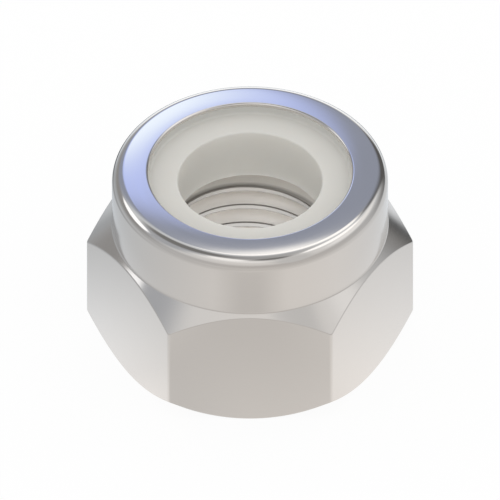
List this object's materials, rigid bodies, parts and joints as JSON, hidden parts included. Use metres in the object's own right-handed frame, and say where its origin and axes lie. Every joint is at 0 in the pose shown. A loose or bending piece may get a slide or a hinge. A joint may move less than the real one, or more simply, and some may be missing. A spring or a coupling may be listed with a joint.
{
  "type": "hex lock nut",
  "caption": "Hexagon lock nut with a round collar rolled over a nylon ring that grips the bolt's thread.",
  "frame": {"origin": "middle of the bearing face, on the thread's axis", "axes": "+Z along the thread's axis, from the bearing face to the collar; two corners of the hexagon on X and two flats facing -Y and +Y"},
  "size_m": [0.0346, 0.03, 0.0218],
  "materials": {
    "steel": "bright stainless steel, cold formed, with a polished rolled lip",
    "nylon": "natural nylon, moulded, smooth and slightly waxy"
  },
  "bodies": {
    "root": {"nut_body": "steel", "nylon_ring": "nylon"}
  },
  "joints": []
}
